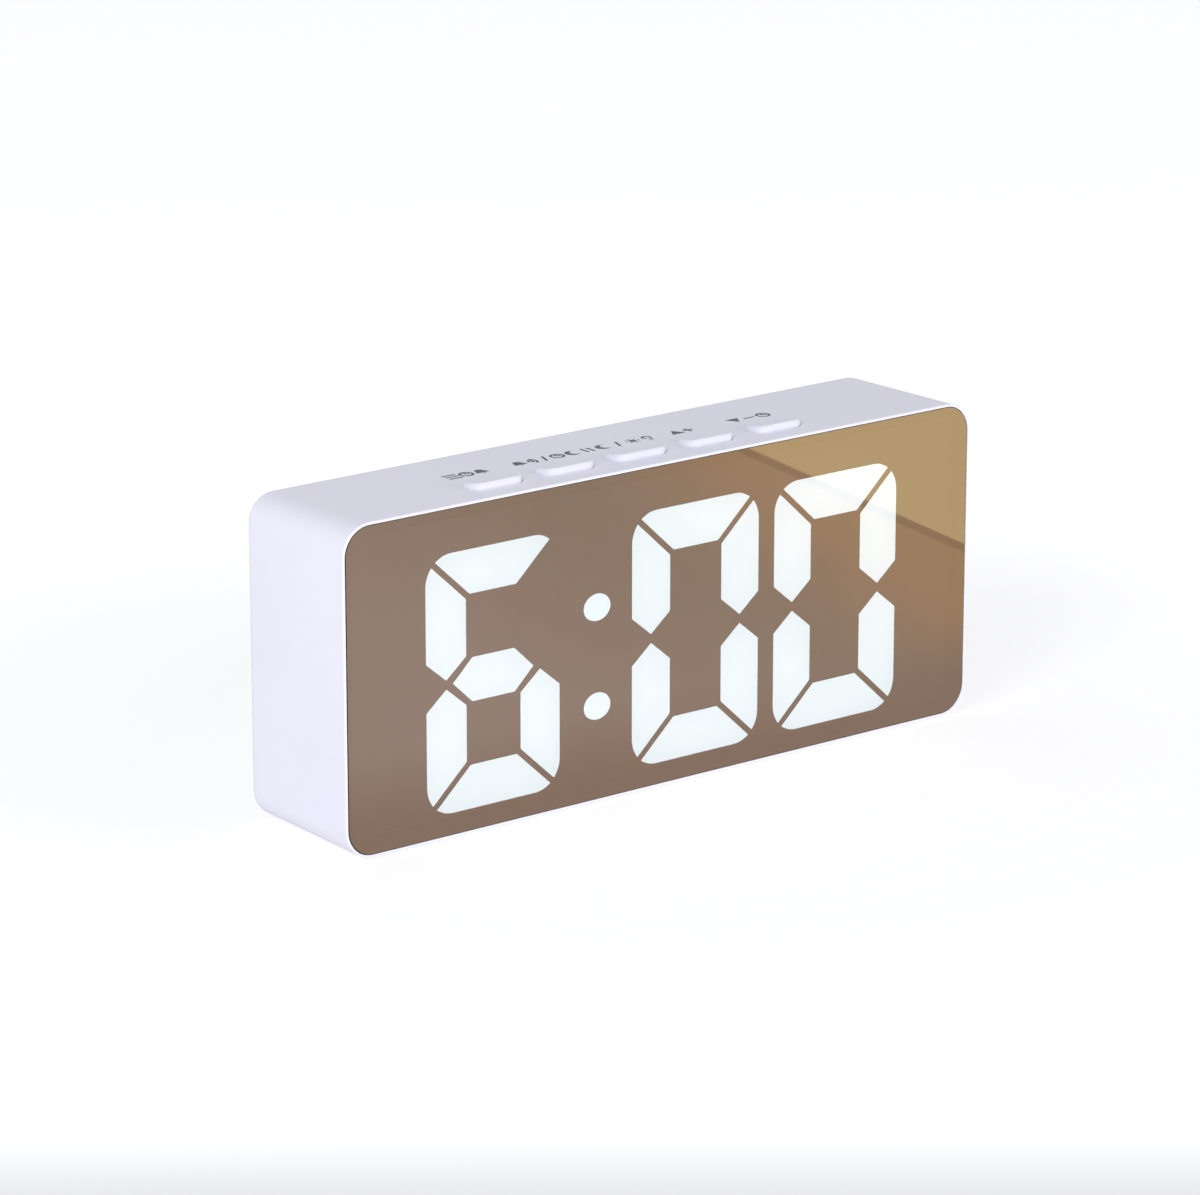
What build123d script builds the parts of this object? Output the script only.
from build123d import *
from math import hypot, radians, tan
import os

os.makedirs("parts", exist_ok=True)

# Driving sizes of the clock, in millimetres
# X runs along the face, Y from the face to the back, Z up from the table
width = 160.0
height = 67.6
depth = 33.6
corner_radius = 6.4
wall = 2.0
draft_angle = 1.0
rear_edge_radius = 2.0
rim_width = 0.5
rim_edge_break = 0.2
foot_proud = 0.6
lens_thickness = 2.0
lens_setback = 0.1
tape_thickness = 0.2

# Clearances shared by all the fits
overrun = 1.0
moving_gap = 0.3
key_gap = 0.2
drop_in_gap = 0.25
lens_gap = 0.1
seat_gap = 0.05

front_y = -depth / 2
rear_y = depth / 2
mid_z = foot_proud + height / 2
top_z = foot_proud + height
draft_slope = tan(radians(draft_angle))


def drawn_in(y):
    """How far the drafted walls have closed in at the depth y."""
    return (y - front_y) * draft_slope


def facing_front(y):
    """A plane across the clock that looks out of its face."""
    return Plane(origin=(0, y, mid_z), x_dir=(1, 0, 0), z_dir=(0, -1, 0))


def facing_rear(y):
    """A plane across the clock that looks out of its back."""
    return Plane(origin=(0, y, mid_z), x_dir=(-1, 0, 0), z_dir=(0, 1, 0))


def finish(piece, name):
    """Label a finished piece and write it out."""
    piece.part.label = name
    export_step(piece.part, "parts/" + name + ".step")


# Depths of the layers behind the face
lens_front_y = front_y + lens_setback
lens_back_y = lens_front_y + lens_thickness
mask_front_y = lens_back_y + tape_thickness
mask_thickness = 1.5
mask_back_y = mask_front_y + mask_thickness
reflector_depth = 5.5
board_front_y = mask_back_y + reflector_depth
board_thickness = 1.2
board_back_y = board_front_y + board_thickness
rear_wall_y = rear_y - wall

# Keys in the top wall and the stack below them
key_lengths = {"mode": 12.4, "alarm": 12.4, "snooze": 13.2, "up": 12.0, "down": 12.0}
key_pitch = 17.9
key_row_x = -2.15
key_depth = 4.0
key_setback = 5.4
key_corner_radius = 2.4
key_rise = 1.35
key_back_rise = 1.05
key_edge_break = 0.4
key_travel = 0.5
key_flange_lip = 0.8
key_flange_thickness = 0.8
key_play = 0.25
plunger_size = 3.0
plunger_proud = 0.75
switch_size = 6.0
switch_height = 2.4
header_depth = 2.5

key_front_y = front_y + key_setback
key_back_y = key_front_y + key_depth
key_mid_y = (key_front_y + key_back_y) / 2
key_flange_back_y = key_back_y + key_flange_lip
key_flange_top_z = top_z - wall - drawn_in(key_flange_back_y) - key_play
key_flange_bottom_z = key_flange_top_z - key_flange_thickness
switch_top_z = key_flange_bottom_z - plunger_proud
key_board_top_z = switch_top_z - switch_height
key_board_thickness = 1.2
key_board_bottom_z = key_board_top_z - key_board_thickness
shelf_thickness = 0.8
shelf_bottom_z = key_board_bottom_z - shelf_thickness
key_places = {
    name: key_row_x + (index - (len(key_lengths) - 1) / 2) * key_pitch
    for index, name in enumerate(key_lengths)
}

# Row of digits behind the face, from the leading one to the last minute
row_inset_left = 9.5
row_inset_right = 18.0
leading_gap = 2.0
colon_gap = 18.4
digit_gap = 4.2
upright_width = 9.7
bar_height = 9.0
digit_corner_radius = 6.2
mitre_gap = 1.35
tip_gap = 1.9
shoulder_drop = 5.0
middle_tip_inset = 6.5
middle_shoulder_inset = 11.2
well_rim = 1.7
colon_half_width = 3.35
colon_half_height = 2.8
colon_rise = 10.3
colon_drop = 1.25
colon_shift = 0.3
cavity_half_height = height / 2 - wall
reflector_top = shelf_bottom_z - mid_z - drop_in_gap
reflector_bottom = -cavity_half_height + drawn_in(board_back_y) + drop_in_gap
digit_height = reflector_top - reflector_bottom - 2 * well_rim
digit_mid = (reflector_top + reflector_bottom) / 2
row_left_x = row_inset_left - width / 2
row_right_x = width / 2 - row_inset_right
row_gaps = upright_width + leading_gap + colon_gap + digit_gap
digit_width = (row_right_x - row_left_x - row_gaps) / 3
digit_places = {
    "leading": row_left_x + upright_width - digit_width / 2,
    "hours": row_left_x + upright_width + leading_gap + digit_width / 2,
    "tens": row_right_x - digit_gap - 3 * digit_width / 2,
    "minutes": row_right_x - digit_width / 2,
}
colon_x = (digit_places["hours"] + digit_places["tens"]) / 2 + colon_shift
colon_mid = digit_mid - colon_drop
lit_marks = {"hours": "acdefg", "tens": "abcdef", "minutes": "abcdef"}
unlit_marks = {"leading": "bc", "hours": "b", "tens": "g", "minutes": "g"}
all_marks = {digit: lit_marks.get(digit, "") + marks for digit, marks in unlit_marks.items()}

# Case screws at both ends: each clamps the display board between a tower of the housing
# and a post of the mask frame
screw_inset = 6.2
screw_radius = 1.3
screw_grip = 5.0
screw_head_radius = 2.4
screw_head_height = 1.8
tower_radius = 3.6
tower_floor = 2.4
post_size = 6.4
screw_x = width / 2 - screw_inset
screw_seat_y = board_back_y + seat_gap + tower_floor
screw_length = screw_seat_y - board_front_y + screw_grip

# Three AAA cells in a bay in the back, and the door over it
cell_radius = 5.25
cell_length = 44.5
cell_nub_radius = 1.9
cell_nub_length = 0.8
cell_gap = 0.6
cell_count = 3
contact_thickness = 0.4
spring_length = 5.0
bay_wall = 1.2
bay_collar = 2.4
bay_collar_depth = 2.0
bay_x = -12.0
bay_drop = 2.0
ledge_width = 1.2
door_thickness = 1.5
bay_length = cell_length + spring_length + 2 * contact_thickness
cell_pitch = 2 * cell_radius + cell_gap
bay_height = cell_count * cell_pitch + cell_gap
bay_z = mid_z - bay_drop
bay_bottom_z = bay_z - bay_height / 2
ledge_y = rear_y - door_thickness - moving_gap
cell_y = ledge_y - cell_radius
bay_floor_y = cell_y - cell_radius - moving_gap
rebate_length = bay_length + 2 * ledge_width
rebate_height = bay_height + 2 * ledge_width
door_corner_radius = 2.0
hook_width = 5.0
hook_thickness = 1.0
hook_drop = 2.3
hook_arm_rise = 0.5
hook_spacing = 30.0
hinge_y = rear_y - door_thickness / 2
hinge_z = bay_z - rebate_height / 2 + moving_gap + door_thickness / 2
hook_outer_y = rear_wall_y - moving_gap
hook_inner_y = hook_outer_y - hook_thickness
hook_sweep = hypot(hinge_y - hook_inner_y, hook_drop)
fingernail_radius = 7.0
fingernail_depth = 1.0
tab_width = 3.0
tab_reach = 1.5
tab_slot_gap = 0.2

# Power inlet on its own small board, and the sounder behind its holes
inlet_inset = 22.0
inlet_drop = 14.0
inlet_setback = 1.2
socket_width = 7.5
socket_height = 2.6
socket_depth = 5.6
socket_skin = 0.3
socket_corner_radius = 0.5
tongue_width = 3.7
tongue_height = 0.6
tongue_length = 4.0
plug_recess_width = 11.5
plug_recess_height = 7.0
plug_recess_radius = 1.5
plug_recess_depth = 0.8
power_board_width = 16.0
power_board_length = 11.5
rail_length = 10.0
rail_wall = 1.4
rail_grip = 0.8
inlet_x = width / 2 - inlet_inset
inlet_z = mid_z - inlet_drop
socket_mouth_y = rear_y - inlet_setback
power_board_rear_y = rear_wall_y - moving_gap
power_board_top_z = inlet_z - socket_height / 2
power_board_mid_z = power_board_top_z - board_thickness / 2
buzzer_inset = 42.0
buzzer_rise = 12.0
buzzer_radius = 6.0
buzzer_height = 8.5
sound_slot_length = 9.0
sound_slot_width = 1.1
sound_slot_gap = 1.5
sound_slot_count = 4
buzzer_x = width / 2 - buzzer_inset

# Rubber pads in shallow seats
foot_length = 12.0
foot_breadth = 6.0
foot_recess = 0.6
foot_inset_x = 16.0
foot_inset_y = 8.0
foot_x = width / 2 - foot_inset_x
foot_y = depth / 2 - foot_inset_y


def key_plan(name, grown):
    """A key seen from above, before its front corners are rounded."""
    with Locations((key_places[name], key_mid_y)):
        Rectangle(key_lengths[name] + 2 * grown, key_depth + 2 * grown)


def round_front_corners(sketch, radius):
    """Round the two corners of a sketch that lie nearest the face."""
    fillet(sketch.vertices().group_by(Axis.Y)[0], radius)


# Housing: one white moulding, open at the face, closed at the back
cavity_width = width - 2 * wall
cavity_height = height - 2 * wall
cavity_corner_cut = corner_radius - wall
recess_width = width - 2 * rim_width
recess_height = height - 2 * rim_width
recess_radius = corner_radius - rim_width
recess_depth = mask_front_y - front_y

with BuildPart() as housing:
    with BuildSketch(facing_rear(front_y)):
        RectangleRounded(width, height, corner_radius)
    extrude(amount=depth, taper=draft_angle)
    fillet(housing.faces().sort_by(Axis.Y)[-1].edges(), rear_edge_radius)
    chamfer(housing.faces().sort_by(Axis.Y)[0].edges(), rim_edge_break)
    with BuildSketch(facing_rear(front_y)):
        cavity = Rectangle(cavity_width, cavity_height)
        chamfer(cavity.vertices(), cavity_corner_cut)
    extrude(amount=depth - wall, taper=draft_angle, mode=Mode.SUBTRACT)
    with BuildSketch(facing_rear(front_y - overrun)):
        RectangleRounded(recess_width, recess_height, recess_radius)
    extrude(amount=recess_depth + overrun, mode=Mode.SUBTRACT)

    # Screw towers on the inside of the back, drilled from behind
    tower_length = rear_wall_y - board_back_y - seat_gap
    with BuildSketch(facing_front(rear_wall_y + wall / 2)):
        with GridLocations(2 * screw_x, 0, 2, 1):
            Circle(tower_radius)
    extrude(amount=tower_length + wall / 2)
    with Locations(facing_rear(rear_y)):
        with GridLocations(2 * screw_x, 0, 2, 1):
            CounterBoreHole(
                screw_radius + drop_in_gap,
                screw_head_radius + moving_gap,
                rear_y - screw_seat_y,
                depth=wall + tower_length + overrun,
            )

    # Battery bay: a box hung from the back wall with a stout collar at its mouth
    with BuildSketch(facing_front(rear_wall_y + wall / 2)):
        with Locations((bay_x, bay_z - mid_z)):
            Rectangle(bay_length + 2 * bay_collar, bay_height + 2 * bay_collar)
    extrude(amount=bay_collar_depth + wall / 2)
    with BuildSketch(facing_front(rear_wall_y)):
        with Locations((bay_x, bay_z - mid_z)):
            Rectangle(bay_length + 2 * bay_wall, bay_height + 2 * bay_wall)
    extrude(amount=rear_wall_y - bay_floor_y + bay_wall)
    with BuildSketch(facing_front(rear_y + overrun)):
        with Locations((bay_x, bay_z - mid_z)):
            Rectangle(bay_length, bay_height)
    extrude(amount=rear_y + overrun - bay_floor_y, mode=Mode.SUBTRACT)

    # Rebate for the door, with a fingernail scoop above it
    with BuildSketch(facing_front(rear_y + overrun)) as rebate:
        with Locations((bay_x, bay_z - mid_z)):
            Rectangle(rebate_length, rebate_height)
        fillet(rebate.vertices().group_by(Axis.Y)[-1], door_corner_radius)
    extrude(amount=rear_y + overrun - ledge_y, mode=Mode.SUBTRACT)
    with BuildSketch(facing_front(rear_y + overrun)):
        with Locations((bay_x, bay_z - mid_z + rebate_height / 2)):
            Circle(fingernail_radius)
            with Locations((0, -fingernail_radius)):
                Rectangle(2 * fingernail_radius, 2 * fingernail_radius, mode=Mode.SUBTRACT)
    extrude(amount=fingernail_depth + overrun, mode=Mode.SUBTRACT)

    # Notches where the door's hooks swing behind the wall below the bay
    notch_front_y = hinge_y - hook_sweep - moving_gap
    notch_bottom_z = hinge_z - hook_drop - moving_gap
    notch_height = bay_bottom_z + overrun - notch_bottom_z
    with BuildSketch(facing_front(ledge_y)):
        with Locations((bay_x, notch_bottom_z + notch_height / 2 - mid_z)):
            with GridLocations(hook_spacing, 0, 2, 1):
                Rectangle(hook_width + 2 * moving_gap, notch_height)
    extrude(amount=ledge_y - notch_front_y, mode=Mode.SUBTRACT)

    # Slots in the bay floor for the two solder tabs
    tab_x = bay_length / 2 - contact_thickness / 2
    with BuildSketch(facing_front(bay_floor_y)):
        with Locations(
            (bay_x - tab_x, bay_z + cell_pitch - mid_z),
            (bay_x + tab_x, bay_z - cell_pitch - mid_z),
        ):
            Rectangle(contact_thickness + 2 * tab_slot_gap, tab_width + 2 * tab_slot_gap)
    extrude(amount=bay_wall + overrun, mode=Mode.SUBTRACT)

    # Rails that grip the power board, and its opening in the back wall
    rail_height = board_thickness + 2 * rail_wall
    rail_reach = rail_wall + rail_grip
    with BuildSketch(facing_front(rear_wall_y + wall / 2)):
        with Locations((inlet_x, power_board_mid_z - mid_z)):
            with GridLocations(power_board_width + rail_wall - rail_grip + 2 * seat_gap, 0, 2, 1):
                Rectangle(rail_reach, rail_height)
    extrude(amount=rail_length + wall / 2)
    with BuildSketch(facing_front(rear_wall_y)):
        with Locations((inlet_x, power_board_mid_z - mid_z)):
            Rectangle(power_board_width + 2 * seat_gap, board_thickness + 2 * seat_gap)
    extrude(amount=rail_length + overrun, mode=Mode.SUBTRACT)
    with BuildSketch(facing_front(rear_y + overrun)):
        with Locations((inlet_x, inlet_z - mid_z)):
            Rectangle(socket_width + 2 * moving_gap, socket_height + 2 * moving_gap)
    extrude(amount=wall + 2 * overrun, mode=Mode.SUBTRACT)
    with BuildSketch(facing_front(rear_y + overrun)):
        with Locations((inlet_x, inlet_z - mid_z)):
            RectangleRounded(plug_recess_width, plug_recess_height, plug_recess_radius)
    extrude(amount=plug_recess_depth + overrun, mode=Mode.SUBTRACT)

    # Slots in the back wall that let the sounder be heard
    with BuildSketch(facing_front(rear_y + overrun)):
        with Locations((buzzer_x, buzzer_rise)):
            with GridLocations(0, sound_slot_width + sound_slot_gap, 1, sound_slot_count):
                Rectangle(sound_slot_length, sound_slot_width)
    extrude(amount=wall + 2 * overrun, mode=Mode.SUBTRACT)

    # Five key openings in the top wall
    for name in key_lengths:
        with BuildSketch(Plane.XY.offset(top_z - wall - overrun)) as opening:
            key_plan(name, key_gap)
            round_front_corners(opening, key_corner_radius + key_gap)
        extrude(amount=wall + 2 * overrun, mode=Mode.SUBTRACT)

    # Shallow seats for the feet
    with BuildSketch(Plane.XY.offset(foot_proud - overrun)):
        with GridLocations(2 * foot_x, 2 * foot_y, 2, 2):
            Rectangle(foot_length + 2 * seat_gap, foot_breadth + 2 * seat_gap)
    extrude(amount=overrun + foot_recess + drawn_in(foot_y), mode=Mode.SUBTRACT)
finish(housing, "housing")

# Mirror lens: a tinted half-silvered acrylic plate let into the rim
lens_width = recess_width - 2 * lens_gap
lens_height = recess_height - 2 * lens_gap
lens_radius = recess_radius - lens_gap
lens_edge_break = 0.1
with BuildPart() as mirror_lens:
    with BuildSketch(facing_front(lens_back_y)):
        RectangleRounded(lens_width, lens_height, lens_radius)
    extrude(amount=lens_thickness)
    chamfer(mirror_lens.faces().sort_by(Axis.Y)[0].edges(), lens_edge_break)
finish(mirror_lens, "mirror_lens")

# Tape ring that glues the lens to the ledge and to the mask frame
tape_width = 2.4
tape_inset = 0.4
with BuildPart() as lens_tape:
    with BuildSketch(facing_front(mask_front_y)):
        RectangleRounded(
            lens_width - 2 * tape_inset, lens_height - 2 * tape_inset, lens_radius - tape_inset
        )
        Rectangle(
            lens_width - 2 * (tape_inset + tape_width),
            lens_height - 2 * (tape_inset + tape_width),
            mode=Mode.SUBTRACT,
        )
    extrude(amount=tape_thickness)
finish(lens_tape, "lens_tape")


# Outlines of the seven bars of a digit, about the middle of the digit
def bar_points(mark):
    """Corners of one bar, before the digit's round corners are taken off."""
    half_width = digit_width / 2
    half_height = digit_height / 2
    inner_x = half_width - upright_width
    inner_z = half_height - bar_height
    mitre_length = hypot(upright_width, bar_height)
    shift_x = mitre_gap / 2 * mitre_length / bar_height
    shift_z = mitre_gap / 2 * mitre_length / upright_width
    top = [
        (-half_width + shift_x, half_height),
        (half_width - shift_x, half_height),
        (inner_x - shift_x, inner_z),
        (-inner_x + shift_x, inner_z),
    ]
    upper_left = [
        (-half_width, half_height - shift_z),
        (-inner_x, inner_z - shift_z),
        (-inner_x, shoulder_drop),
        (-half_width + upright_width / 2, tip_gap / 2),
        (-half_width, shoulder_drop),
    ]
    middle = [
        (-half_width + middle_tip_inset, 0),
        (-half_width + middle_shoulder_inset, bar_height / 2),
        (half_width - middle_shoulder_inset, bar_height / 2),
        (half_width - middle_tip_inset, 0),
        (half_width - middle_shoulder_inset, -bar_height / 2),
        (-half_width + middle_shoulder_inset, -bar_height / 2),
    ]
    shape, side, end = {
        "a": (top, 1, 1),
        "b": (upper_left, -1, 1),
        "c": (upper_left, -1, -1),
        "d": (top, 1, -1),
        "e": (upper_left, 1, -1),
        "f": (upper_left, 1, 1),
        "g": (middle, 1, 1),
    }[mark]
    return [(side * x, end * z) for x, z in shape]


def bar_face(mark, grown, corner_radius):
    """One bar of a digit as a flat face, grown all round by a clearance."""
    with BuildSketch() as face:
        with BuildLine():
            Polyline(*bar_points(mark), close=True)
        make_face()
        if corner_radius > 0:
            RectangleRounded(digit_width, digit_height, corner_radius, mode=Mode.INTERSECT)
        if grown > 0:
            offset(amount=grown, kind=Kind.INTERSECTION)
    return face.sketch


bar_faces = {mark: bar_face(mark, 0, digit_corner_radius) for mark in "abcdefg"}
window_faces = {mark: bar_face(mark, seat_gap, digit_corner_radius) for mark in "abcdefg"}
well_faces = {mark: bar_face(mark, seat_gap, 0) for mark in "abcdefg"}


def draw_bars(faces, marks_by_digit):
    """Draw the named bars of each digit into the current sketch."""
    for digit, marks in marks_by_digit.items():
        with Locations((digit_places[digit], digit_mid)):
            for mark in marks:
                add(faces[mark])


def draw_colon(grown):
    """Draw the two dots between the hours and the minutes, grown by a clearance."""
    with Locations((colon_x, colon_mid)):
        with GridLocations(0, 2 * colon_rise, 1, 2):
            Ellipse(colon_half_width + grown, colon_half_height + grown)


# Mask frame: black moulding with a window for each bar, held by the case screws
frame_width = cavity_width - 2 * drop_in_gap
frame_height = cavity_height - 2 * drop_in_gap
frame_corner_cut = cavity_corner_cut - drop_in_gap
peg_length = 1.6
peg_head_length = 2.6
peg_head_height = 0.5
peg_inset = 2.2
key_board_margin = 6.5
key_row_length = (len(key_lengths) - 1) * key_pitch + max(key_lengths.values())
key_board_length = key_row_length + 2 * key_board_margin
key_board_front_y = mask_back_y + drop_in_gap
key_board_back_y = board_back_y + header_depth
key_board_depth = key_board_back_y - key_board_front_y
key_board_mid_y = (key_board_front_y + key_board_back_y) / 2
shelf_back_y = key_mid_y + switch_size / 2
peg_spacing = key_board_length - 2 * peg_inset

with BuildPart() as mask_frame:
    with BuildSketch(facing_front(mask_back_y)):
        carrier = Rectangle(frame_width, frame_height)
        chamfer(carrier.vertices(), frame_corner_cut)
    extrude(amount=mask_thickness)
    with BuildSketch(facing_front(mask_back_y)):
        draw_bars(window_faces, all_marks)
        draw_colon(seat_gap)
    extrude(amount=mask_thickness, mode=Mode.SUBTRACT)
    with BuildSketch(facing_front(board_front_y)):
        with GridLocations(2 * screw_x, 0, 2, 1):
            Rectangle(post_size, post_size)
            Circle(screw_radius + seat_gap, mode=Mode.SUBTRACT)
    extrude(amount=reflector_depth)

    # Shelf under the key board, with two pegs staked over the board
    with BuildSketch(Plane.XY.offset(shelf_bottom_z)):
        with Locations((key_row_x, (mask_back_y + shelf_back_y) / 2)):
            Rectangle(key_board_length, shelf_back_y - mask_back_y)
    extrude(amount=shelf_thickness)
    with BuildSketch(Plane.XY.offset(key_board_bottom_z)):
        with Locations((key_row_x, key_mid_y)):
            with GridLocations(peg_spacing, 0, 2, 1):
                Rectangle(peg_length, peg_length)
    extrude(amount=key_board_thickness)
    with BuildSketch(Plane.XY.offset(key_board_top_z)):
        with Locations((key_row_x, key_mid_y)):
            with GridLocations(peg_spacing, 0, 2, 1):
                Rectangle(peg_head_length, peg_head_length)
    extrude(amount=peg_head_height)
finish(mask_frame, "mask_frame")

# Reflector: a white block with an open well behind each window
reflector_left_x = row_left_x - well_rim
reflector_right_x = row_right_x + well_rim
reflector_width = reflector_right_x - reflector_left_x
reflector_mid_x = (reflector_left_x + reflector_right_x) / 2
reflector_height = reflector_top - reflector_bottom
post_notch = post_size + 2 * drop_in_gap
with BuildPart() as reflector:
    with BuildSketch(facing_front(board_front_y)):
        with Locations((reflector_mid_x, digit_mid)):
            Rectangle(reflector_width, reflector_height)
        with GridLocations(2 * screw_x, 0, 2, 1):
            Rectangle(post_notch, post_notch, mode=Mode.SUBTRACT)
    extrude(amount=reflector_depth)
    with BuildSketch(facing_front(board_front_y)):
        draw_bars(well_faces, all_marks)
        draw_colon(seat_gap)
    extrude(amount=reflector_depth, mode=Mode.SUBTRACT)
finish(reflector, "segment_reflector")

# Light guides: milky plugs that fill the windows and reach a little into the wells
guide_reach = 1.0
guide_back_y = mask_back_y + guide_reach
guide_depth = guide_back_y - mask_front_y
for digit, marks in lit_marks.items():
    with BuildPart() as guides:
        with BuildSketch(facing_front(guide_back_y)):
            draw_bars(bar_faces, {digit: marks})
        extrude(amount=guide_depth)
    finish(guides, digit + "_digit_guides")
with BuildPart() as colon_guides:
    with BuildSketch(facing_front(guide_back_y)):
        draw_colon(0)
    extrude(amount=guide_depth)
finish(colon_guides, "colon_guides")
with BuildPart() as unlit_guides:
    with BuildSketch(facing_front(guide_back_y)):
        draw_bars(bar_faces, unlit_marks)
    extrude(amount=guide_depth)
finish(unlit_guides, "unlit_guides")

# Display board behind the reflector
board_width = frame_width - 2 * drop_in_gap
header_pin_count = 6
header_pitch = 2.54
header_pin_size = 0.64
header_width = header_pin_count * header_pitch
header_height = 2.5
header_x = 22.0
header_top_z = mid_z + reflector_top - 2 * moving_gap
header_y = board_back_y + header_depth / 2
with BuildPart() as display_board:
    with BuildSketch(facing_front(board_back_y)):
        with Locations((0, digit_mid)):
            outline = Rectangle(board_width, reflector_height)
        chamfer(outline.vertices(), cavity_corner_cut)
        with GridLocations(2 * screw_x, 0, 2, 1):
            Circle(screw_radius + drop_in_gap, mode=Mode.SUBTRACT)
    extrude(amount=board_thickness)
finish(display_board, "display_board")

# Two light-emitting diodes at the bottom of each well, one under each dot
led_length = 2.8
led_breadth = 1.6
led_height = 0.8
led_spread_shares = {"across": 0.275, "upright": 0.166}
spread_across = led_spread_shares["across"] * digit_width
spread_upright = led_spread_shares["upright"] * digit_height
bar_middles = {
    "a": (0, digit_height / 2 - bar_height / 2),
    "b": (digit_width / 2 - upright_width / 2, digit_height / 4),
    "c": (digit_width / 2 - upright_width / 2, -digit_height / 4),
    "d": (0, -digit_height / 2 + bar_height / 2),
    "e": (-digit_width / 2 + upright_width / 2, -digit_height / 4),
    "f": (-digit_width / 2 + upright_width / 2, digit_height / 4),
    "g": (0, 0),
}
with BuildPart() as leds:
    with BuildSketch(facing_front(board_front_y)):
        for digit, marks in all_marks.items():
            with Locations((digit_places[digit], digit_mid)):
                for mark in marks:
                    columns, rows = (2, 1) if mark in "adg" else (1, 2)
                    with Locations(bar_middles[mark]):
                        with GridLocations(spread_across, spread_upright, columns, rows):
                            Rectangle(led_length, led_breadth)
        with Locations((colon_x, colon_mid)):
            with GridLocations(0, 2 * colon_rise, 1, 2):
                Rectangle(led_length, led_breadth)
    extrude(amount=led_height)
finish(leds, "display_leds")


# Pan head screws that come in from the back
with BuildPart() as case_screws:
    with BuildSketch(facing_rear(screw_seat_y)):
        with GridLocations(2 * screw_x, 0, 2, 1):
            Circle(screw_head_radius)
    extrude(amount=screw_head_height)
    with BuildSketch(facing_front(screw_seat_y)):
        with GridLocations(2 * screw_x, 0, 2, 1):
            Circle(screw_radius)
    extrude(amount=screw_length)
finish(case_screws, "case_screws")

# Parts soldered to the back of the display board
chip_length = 10.4
chip_breadth = 7.6
chip_height = 2.3
chip_edge = 0.3
chip_lead_count = 8
chip_lead_width = 0.4
chip_lead_gap = 0.87
chip_lead_reach = 1.2
chip_lead_thickness = 0.3
chip_drop = 4.0
chip_x = buzzer_x
chip_z = -chip_drop
chip_lead_pitch = chip_lead_width + chip_lead_gap
with BuildPart() as controller_chip:
    with BuildSketch(facing_rear(board_back_y)):
        with Locations((-chip_x, chip_z)):
            Rectangle(chip_length, chip_breadth)
    extrude(amount=chip_height)
    chamfer(controller_chip.faces().sort_by(Axis.Y)[-1].edges(), chip_edge)
    with BuildSketch(facing_rear(board_back_y)):
        with Locations((-chip_x, chip_z)):
            with GridLocations(chip_lead_pitch, chip_breadth + chip_lead_reach, chip_lead_count, 2):
                Rectangle(chip_lead_width, chip_lead_reach)
    extrude(amount=chip_lead_thickness)
finish(controller_chip, "controller_chip")

crystal_radius = 1.5
crystal_length = 8.0
crystal_x = chip_x - chip_length / 2 - 2 * crystal_radius - chip_lead_reach
with BuildPart() as clock_crystal:
    with BuildSketch(Plane.XY.offset(mid_z + chip_z - crystal_length / 2)):
        with Locations((crystal_x, board_back_y + crystal_radius)):
            Circle(crystal_radius)
    extrude(amount=crystal_length)
finish(clock_crystal, "clock_crystal")

capacitor_radius = 2.5
capacitor_height = 7.0
capacitor_drop = 10.0
with BuildPart() as filter_capacitor:
    with BuildSketch(facing_rear(board_back_y)):
        with Locations((-chip_x, chip_z - capacitor_drop)):
            Circle(capacitor_radius)
    extrude(amount=capacitor_height)
finish(filter_capacitor, "filter_capacitor")

# Key board on the shelf, with five tact switches under the keys
peg_hole_length = peg_length + 2 * seat_gap
pin_hole_size = header_pin_size + 2 * seat_gap
plunger_well = 2 * key_travel + moving_gap
plunger_opening = plunger_size + 4 * seat_gap
with BuildPart() as key_board:
    with BuildSketch(Plane.XY.offset(key_board_bottom_z)):
        with Locations((key_row_x, key_board_mid_y)):
            Rectangle(key_board_length, key_board_depth)
        with Locations((key_row_x, key_mid_y)):
            with GridLocations(peg_spacing, 0, 2, 1):
                Rectangle(peg_hole_length, peg_hole_length, mode=Mode.SUBTRACT)
        with Locations((header_x, header_y)):
            with GridLocations(header_pitch, 0, header_pin_count, 1):
                Rectangle(pin_hole_size, pin_hole_size, mode=Mode.SUBTRACT)
    extrude(amount=key_board_thickness)
finish(key_board, "key_board")

with BuildPart() as tact_switches:
    for name in key_lengths:
        with BuildSketch(Plane.XY.offset(key_board_top_z)):
            with Locations((key_places[name], key_mid_y)):
                Rectangle(switch_size, switch_size)
        extrude(amount=switch_height)
        with BuildSketch(Plane.XY.offset(switch_top_z)):
            with Locations((key_places[name], key_mid_y)):
                Rectangle(plunger_opening, plunger_opening)
        extrude(amount=-plunger_well, mode=Mode.SUBTRACT)
finish(tact_switches, "tact_switches")

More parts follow.
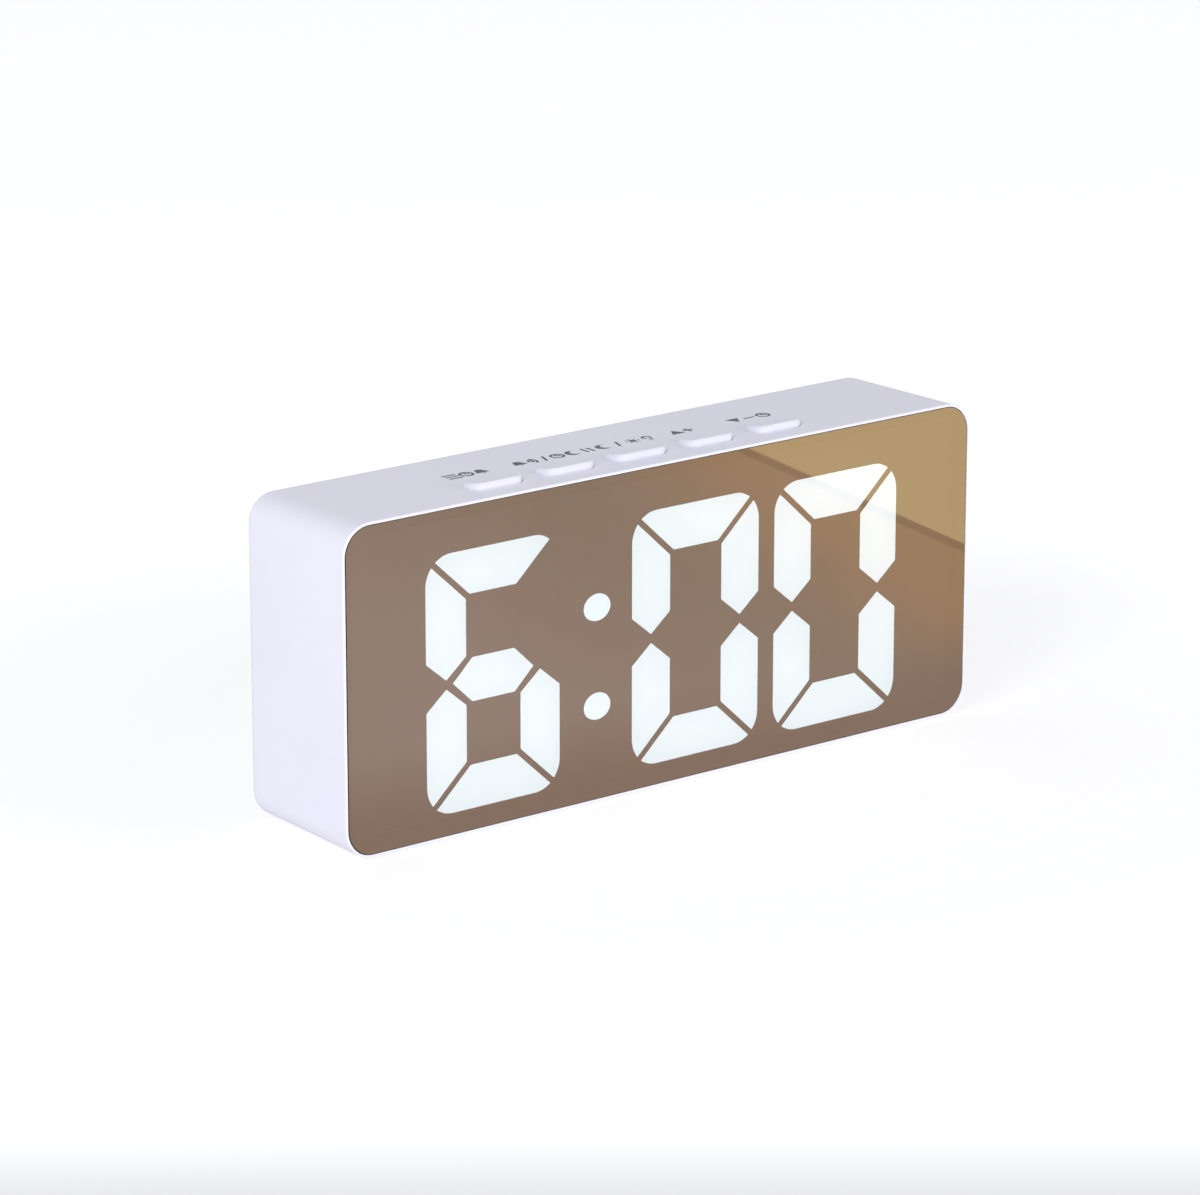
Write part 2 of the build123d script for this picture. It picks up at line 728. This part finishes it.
# Keys: low bars that rise a little to the front, each on its switch plunger
for name, length in key_lengths.items():
    crest_z = top_z + key_rise
    with BuildPart() as key:
        with BuildSketch(Plane.XY.offset(key_flange_top_z)) as plan:
            key_plan(name, 0)
            round_front_corners(plan, key_corner_radius)
        extrude(amount=crest_z - key_flange_top_z)
        with BuildSketch(Plane.YZ.offset(key_places[name] - length)):
            with BuildLine():
                Polyline(
                    (key_front_y - overrun, key_flange_top_z - overrun),
                    (key_back_y + overrun, key_flange_top_z - overrun),
                    (key_back_y + overrun, top_z - drawn_in(key_back_y) + key_back_rise),
                    (key_back_y, top_z - drawn_in(key_back_y) + key_back_rise),
                    (key_front_y, crest_z),
                    (key_front_y - overrun, crest_z),
                    close=True,
                )
            make_face()
        extrude(amount=2 * length, mode=Mode.INTERSECT)
        slope = key.faces().filter_by(Axis.Y, reverse=True).sort_by(Axis.Z)[-1]
        chamfer(slope.edges(), key_edge_break)
        with BuildSketch(Plane.XY.offset(key_flange_bottom_z)):
            with Locations((key_places[name], (key_front_y + key_flange_back_y) / 2)):
                Rectangle(length + 2 * key_flange_lip, key_flange_back_y - key_front_y)
        extrude(amount=key_flange_thickness)
    finish(key, name + "_key")

    with BuildPart() as plunger:
        with BuildSketch(Plane.XY.offset(switch_top_z - key_travel)):
            with Locations((key_places[name], key_mid_y)):
                Rectangle(plunger_size, plunger_size)
        extrude(amount=plunger_proud + key_travel)
    finish(plunger, name + "_plunger")

# Pin header that joins the key board to the display board
header_bottom_z = header_top_z - header_height
with BuildPart() as key_header:
    with BuildSketch(Plane.XY.offset(header_bottom_z)):
        with Locations((header_x, header_y)):
            Rectangle(header_width, header_depth)
            with GridLocations(header_pitch, 0, header_pin_count, 1):
                Rectangle(header_pin_size, header_pin_size, mode=Mode.SUBTRACT)
    extrude(amount=header_height)
finish(key_header, "key_header")

with BuildPart() as header_pins:
    with BuildSketch(Plane.XY.offset(header_bottom_z)):
        with Locations((header_x, header_y)):
            with GridLocations(header_pitch, 0, header_pin_count, 1):
                Rectangle(header_pin_size, header_pin_size)
    extrude(amount=key_board_top_z + key_travel - header_bottom_z)
finish(header_pins, "header_pins")

# Battery door: rounded along its lower edge, where two hooks hold it in the wall
door_length = rebate_length - 2 * moving_gap
door_top_z = bay_z + rebate_height / 2 - moving_gap
grip_count = 4
grip_pitch = 1.6
grip_width = 0.7
grip_depth = 0.4
grip_length = 16.0
grip_drop = 6.0
with BuildPart() as battery_door:
    with BuildSketch(Plane.YZ.offset(bay_x - door_length / 2)):
        with BuildLine():
            Polyline(
                (rear_y, hinge_z),
                (rear_y, door_top_z),
                (rear_y - door_thickness, door_top_z),
                (rear_y - door_thickness, hinge_z),
            )
            ThreePointArc(
                (rear_y - door_thickness, hinge_z),
                (hinge_y, hinge_z - door_thickness / 2),
                (rear_y, hinge_z),
            )
        make_face()
    extrude(amount=door_length)
    fillet(
        battery_door.edges().filter_by(Axis.Y).group_by(Axis.Z)[-1],
        door_corner_radius - moving_gap,
    )
    with BuildSketch(facing_rear(rear_y)):
        with Locations((-bay_x, door_top_z - grip_drop - mid_z)):
            with GridLocations(0, grip_pitch, 1, grip_count):
                Rectangle(grip_length, grip_width)
    extrude(amount=-grip_depth, mode=Mode.SUBTRACT)
    for side in (-1, 1):
        hook_x = bay_x + side * hook_spacing / 2
        with BuildSketch(Plane.YZ.offset(hook_x - hook_width / 2)):
            with BuildLine():
                Polyline(
                    (hinge_y, hinge_z + hook_arm_rise),
                    (hook_inner_y, hinge_z + hook_arm_rise),
                    (hook_inner_y, hinge_z - hook_drop),
                    (hook_outer_y, hinge_z - hook_drop),
                    (hook_outer_y, hinge_z - door_thickness / 2),
                    (hinge_y, hinge_z - door_thickness / 2),
                    close=True,
                )
            make_face()
        extrude(amount=hook_width)
finish(battery_door, "battery_door")

# Cells laid across the bay, each turned the other way from its neighbour
top_row_z = bay_z + (cell_count - 1) / 2 * cell_pitch
cell_rows = [top_row_z - row * cell_pitch for row in range(cell_count)]
cell_turns = [1 if row % 2 == 0 else -1 for row in range(cell_count)]
with BuildPart() as aaa_cells:
    for row_z, turn in zip(cell_rows, cell_turns):
        plus_x = bay_x - turn * (bay_length / 2 - contact_thickness)
        shoulder_x = plus_x + turn * cell_nub_length
        cell_plane = Plane(origin=(shoulder_x, cell_y, row_z), z_dir=(turn, 0, 0))
        with BuildSketch(cell_plane):
            Circle(cell_radius)
        extrude(amount=cell_length - cell_nub_length)
        with BuildSketch(cell_plane):
            Circle(cell_nub_radius)
        extrude(amount=-cell_nub_length)
finish(aaa_cells, "aaa_cells")

# Contact plates: single ones carry a solder tab, double ones join two cells
plate_depth = 9.0
plate_height = 8.6
plate_bottom_y = bay_floor_y + moving_gap
with BuildPart() as battery_contacts:
    for side, first_row, last_row in ((-1, 0, 0), (-1, 1, 2), (1, 0, 1), (1, 2, 2)):
        plate_x = bay_x + side * tab_x
        plate_top = cell_rows[first_row] + plate_height / 2
        plate_low = cell_rows[last_row] - plate_height / 2
        with BuildSketch(Plane.YZ.offset(plate_x - contact_thickness / 2)):
            with Locations((plate_bottom_y + plate_depth / 2, (plate_top + plate_low) / 2)):
                Rectangle(plate_depth, plate_top - plate_low)
            if first_row == last_row:
                tab_front_y = bay_floor_y - bay_wall - tab_reach
                tab_length = plate_bottom_y - tab_front_y
                with Locations((tab_front_y + tab_length / 2, cell_rows[first_row])):
                    Rectangle(tab_length, tab_width)
        extrude(amount=contact_thickness)
finish(battery_contacts, "battery_contacts")

# Leaf springs: strips folded out from the plates to press on the flat ends of the cells
leaf_width = 4.0
leaf_thickness = 0.3
leaf_height = 8.0
leaf_crown = 3.0
leaf_foot = 0.8
with BuildPart() as battery_springs:
    for row_z, turn in zip(cell_rows, cell_turns):
        plate_face_x = bay_x + turn * (bay_length / 2 - contact_thickness)
        crown_x = plate_face_x - turn * spring_length
        cell_side = [
            (plate_face_x - turn * leaf_thickness, leaf_height / 2),
            (plate_face_x - turn * leaf_thickness, leaf_height / 2 - leaf_foot),
            (crown_x, leaf_crown / 2),
        ]
        plate_side = [
            (crown_x + turn * leaf_thickness, leaf_crown / 2 - leaf_thickness),
            (plate_face_x, leaf_height / 2 - leaf_foot - leaf_thickness),
            (plate_face_x, leaf_height / 2),
        ]
        upper = [(x, row_z + z) for x, z in cell_side[::-1]]
        upper_back = [(x, row_z + z) for x, z in plate_side[::-1]]
        lower = [(x, row_z - z) for x, z in cell_side]
        lower_back = [(x, row_z - z) for x, z in plate_side]
        with BuildSketch(Plane.XZ.offset(-cell_y - leaf_width / 2)):
            with BuildLine():
                Polyline(*lower, *upper, *upper_back, *lower_back, close=True)
            make_face()
        extrude(amount=leaf_width)
finish(battery_springs, "battery_springs")

# Power board in its rails, with the socket at its rear edge
power_board_mid_y = power_board_rear_y - power_board_length / 2
with BuildPart() as power_board:
    with BuildSketch(Plane.XY.offset(power_board_top_z - board_thickness)):
        with Locations((inlet_x, power_board_mid_y)):
            Rectangle(power_board_width, power_board_length)
    extrude(amount=board_thickness)
finish(power_board, "power_board")

with BuildPart() as usb_socket:
    with BuildSketch(facing_rear(socket_mouth_y - socket_depth)):
        with Locations((-inlet_x, inlet_z - mid_z)):
            RectangleRounded(socket_width, socket_height, socket_corner_radius)
    extrude(amount=socket_depth)
    with BuildSketch(facing_rear(socket_mouth_y)):
        with Locations((-inlet_x, inlet_z - mid_z)):
            Rectangle(socket_width - 2 * socket_skin, socket_height - 2 * socket_skin)
    extrude(amount=-(socket_depth - socket_skin), mode=Mode.SUBTRACT)
finish(usb_socket, "usb_socket")

tongue_back_y = socket_mouth_y - socket_depth + socket_skin
with BuildPart() as usb_tongue:
    with BuildSketch(facing_rear(tongue_back_y)):
        with Locations((-inlet_x, inlet_z - mid_z)):
            Rectangle(tongue_width, tongue_height)
    extrude(amount=tongue_length)
finish(usb_tongue, "usb_tongue")

# Sounder, soldered to the display board behind its slots
with BuildPart() as buzzer:
    with BuildSketch(facing_rear(board_back_y)):
        with Locations((-buzzer_x, buzzer_rise)):
            Circle(buzzer_radius)
    extrude(amount=buzzer_height)
finish(buzzer, "buzzer")

# Leads from each unit forward to the display board
lead_radius = 0.6
lead_straight_share = 0.25


def lead(name, start, step):
    """A wire that leaves straight forward, slants up or down, and lands square on the board."""
    x, start_y, start_z = start
    straight = (start_y - board_back_y) * lead_straight_share
    with BuildPart() as wire:
        with BuildLine() as route:
            Polyline(
                (x, start_y, start_z),
                (x, start_y - straight, start_z),
                (x, board_back_y + straight, start_z + step),
                (x, board_back_y, start_z + step),
            )
        with BuildSketch(Plane(origin=route.line @ 0, z_dir=route.line % 0)):
            RegularPolygon(lead_radius, 8)
        sweep(path=route.line, transition=Transition.RIGHT)
    finish(wire, name)


lead_step = 5.0
power_lead_spacing = 4.0
power_lead_y = power_board_rear_y - power_board_length
battery_lead_y = bay_floor_y - bay_wall - tab_reach
for name, side in (("red", -1), ("black", 1)):
    power_lead_x = inlet_x + side * power_lead_spacing / 2
    lead("power_lead_" + name, (power_lead_x, power_lead_y, power_board_mid_z), -lead_step)
    battery_lead_start = (bay_x + side * tab_x, battery_lead_y, bay_z - side * cell_pitch)
    lead("battery_lead_" + name, battery_lead_start, side * lead_step)

# Four rubber pads pressed into their seats
with BuildPart() as feet:
    with BuildSketch():
        with GridLocations(2 * foot_x, 2 * foot_y, 2, 2):
            Rectangle(foot_length, foot_breadth)
    extrude(amount=foot_proud + foot_recess)
finish(feet, "rubber_feet")
